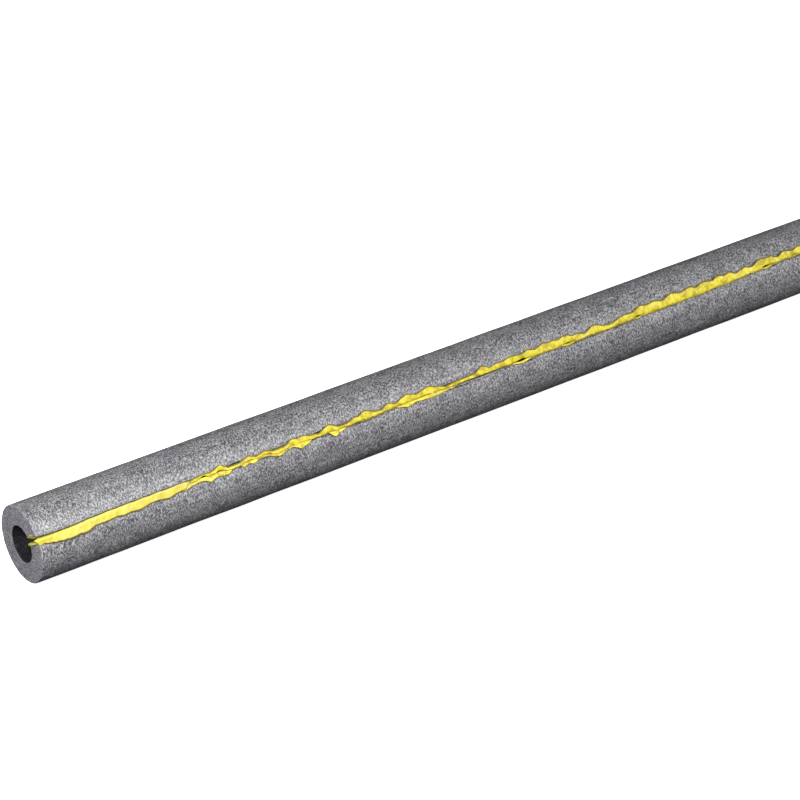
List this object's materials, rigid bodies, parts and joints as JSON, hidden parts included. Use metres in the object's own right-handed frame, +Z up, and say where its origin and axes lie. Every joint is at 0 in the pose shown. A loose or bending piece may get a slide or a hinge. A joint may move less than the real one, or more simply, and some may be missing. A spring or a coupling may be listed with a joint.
{
  "type": "pipe insulation lagging",
  "caption": "Straight foam sleeve for a heating or water pipe, slit along one side, with a release liner on each face of the slit.",
  "frame": {"origin": "bottom centre of the bounding box, on the surface that the sleeve lies on, half-way along it", "axes": "+X along the sleeve, away from the end nearest the picture's camera; +Z up as it lies; the slit is on the -Y side"},
  "size_m": [0.914, 0.0476, 0.0476],
  "materials": {
    "foam": "matte closed-cell foam skin with a fine pebbled grain",
    "liner_film": "thin satin plastic film, ruffled"
  },
  "bodies": {
    "root": {"foam_sleeve": "foam", "upper_release_liner": "liner_film", "lower_release_liner": "liner_film"}
  },
  "joints": []
}
